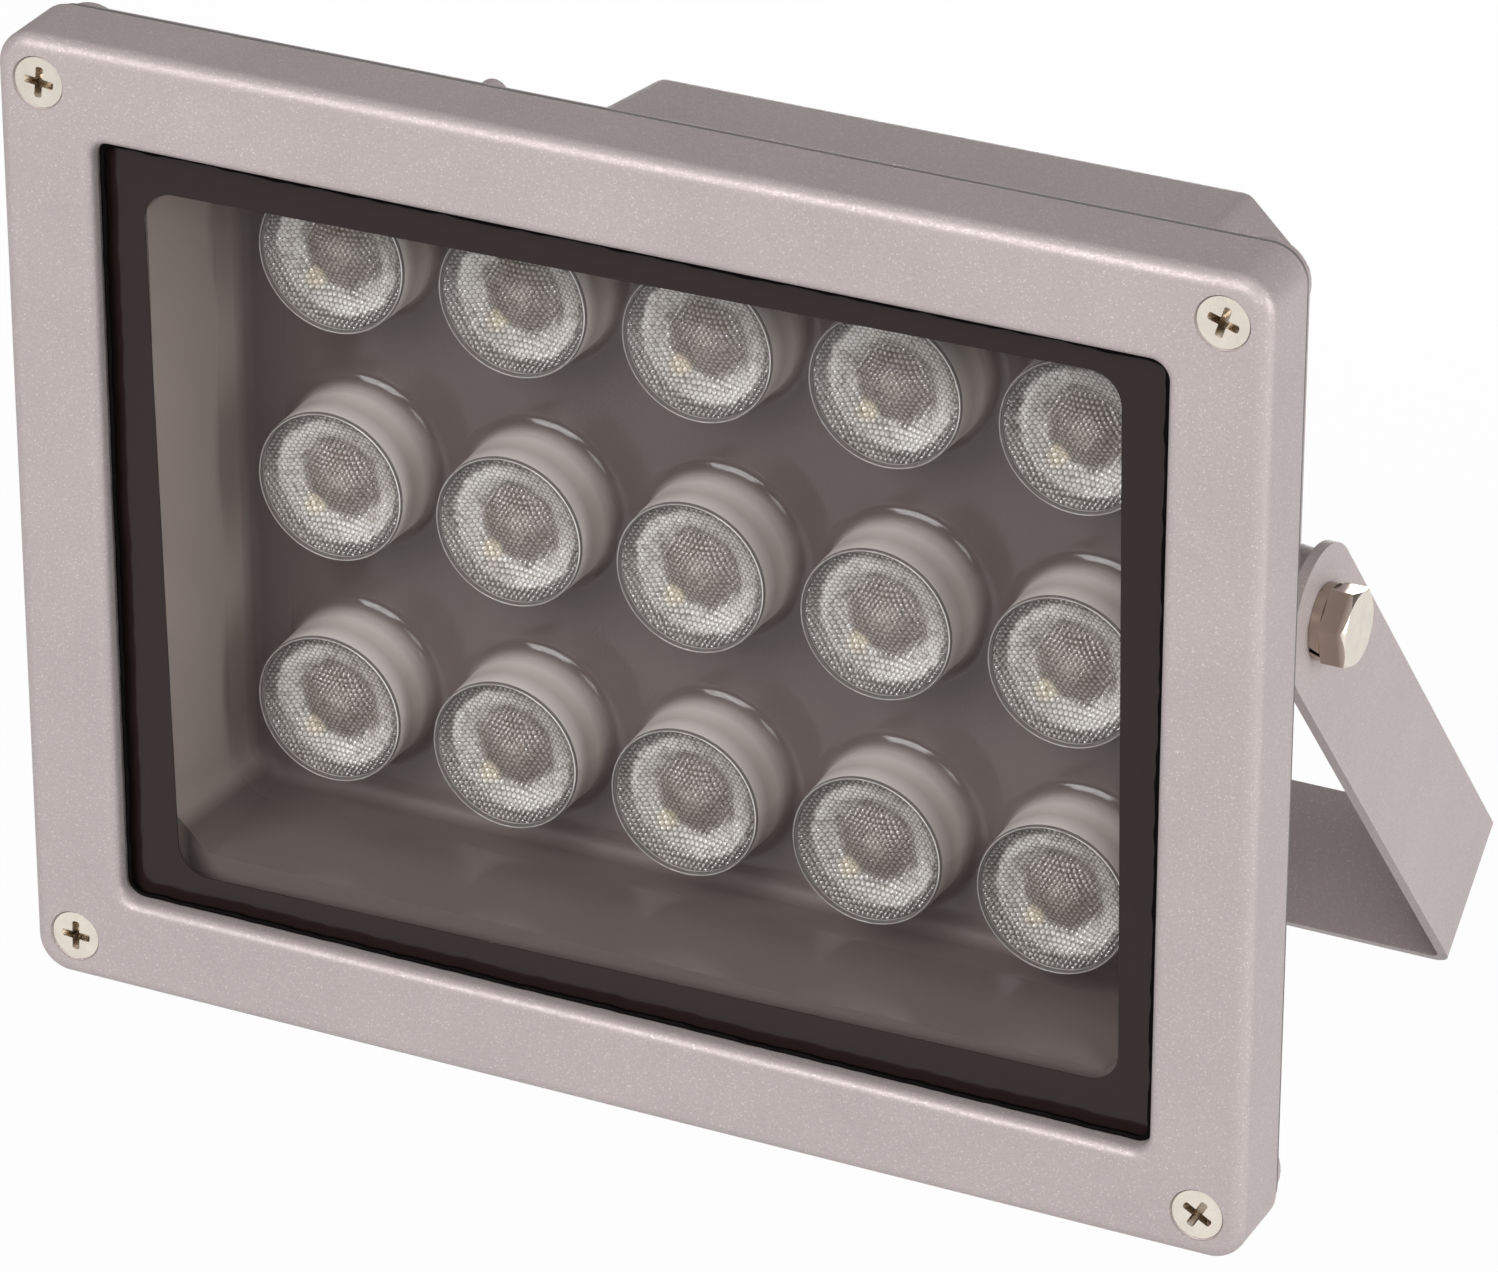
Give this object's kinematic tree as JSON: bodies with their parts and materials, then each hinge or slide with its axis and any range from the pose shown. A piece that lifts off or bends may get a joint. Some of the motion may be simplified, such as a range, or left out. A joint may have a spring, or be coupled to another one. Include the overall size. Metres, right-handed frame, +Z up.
{
  "type": "infrared lamp",
  "caption": "Infrared lamp: rectangular cast head with a glass front over a grid of lensed emitters, tilting on a folded U bracket.",
  "frame": {"origin": "middle of the bracket's centre mounting hole, on the base's outer face", "axes": "the head stands upright: -Y is the way its glass faces, +X runs to its right as seen from the front, +Z up"},
  "size_m": [0.1808, 0.1177, 0.1503],
  "materials": {
    "cast_silver": "silver paint with a fine metallic grain over a casting",
    "sheet_silver": "silver paint with a fine metallic grain over folded steel",
    "nickel_steel": "bright nickel plate",
    "zinc_steel": "zinc plate",
    "clear_glass": "clear toughened glass",
    "black_print": "black ceramic print on glass",
    "black_silicone": "black silicone",
    "grey_tray": "grey moulding, satin",
    "clear_lens": "clear moulding with a beaded face",
    "emitter": "emitter with a clear dome",
    "white_board": "white solder mask on an aluminium board",
    "green_board": "green solder mask",
    "dark_ferrite": "ferrite and tape",
    "black_can": "sleeved can",
    "green_terminal": "moulded terminal block",
    "black_nylon": "black nylon"
  },
  "bodies": {
    "bracket": {"u_bracket": "sheet_silver"},
    "head": {"bezel": "cast_silver", "bezel_screws": "nickel_steel", "front_glass": "clear_glass", "glass_border_print": "black_print", "glass_seal": "black_silicone", "housing_gasket": "black_silicone", "rear_housing": "cast_silver", "lens_tray": "grey_tray", "lens_r1_c1": "clear_lens", "lens_r1_c2": "clear_lens", "lens_r1_c3": "clear_lens", "lens_r1_c4": "clear_lens", "lens_r1_c5": "clear_lens", "lens_r2_c1": "clear_lens", "lens_r2_c2": "clear_lens", "lens_r2_c3": "clear_lens", "lens_r2_c4": "clear_lens", "lens_r2_c5": "clear_lens", "lens_r3_c1": "clear_lens", "lens_r3_c2": "clear_lens", "lens_r3_c3": "clear_lens", "lens_r3_c4": "clear_lens", "lens_r3_c5": "clear_lens", "led_r1_c1": "emitter", "led_r1_c2": "emitter", "led_r1_c3": "emitter", "led_r1_c4": "emitter", "led_r1_c5": "emitter", "led_r2_c1": "emitter", "led_r2_c2": "emitter", "led_r2_c3": "emitter", "led_r2_c4": "emitter", "led_r2_c5": "emitter", "led_r3_c1": "emitter", "led_r3_c2": "emitter", "led_r3_c3": "emitter", "led_r3_c4": "emitter", "led_r3_c5": "emitter", "led_board": "white_board", "led_board_screws": "zinc_steel", "driver_board": "green_board", "driver_screws": "zinc_steel", "driver_transformer": "dark_ferrite", "driver_capacitor": "black_can", "driver_inductor": "dark_ferrite", "terminal_block": "green_terminal", "cable_gland": "black_nylon", "gland_grommet": "black_silicone", "gland_nut": "black_nylon", "bracket_bolt_left": "nickel_steel", "bracket_bolt_right": "nickel_steel", "spring_washer_left": "nickel_steel", "spring_washer_right": "nickel_steel"}
  },
  "joints": [
    {"name": "head_tilt", "type": "hinge", "parent": "bracket", "child": "head", "pos_m": [0, -0.06235, 0.073], "axis": [1, 0, 0], "range_deg": [-154, 55]}
  ]
}
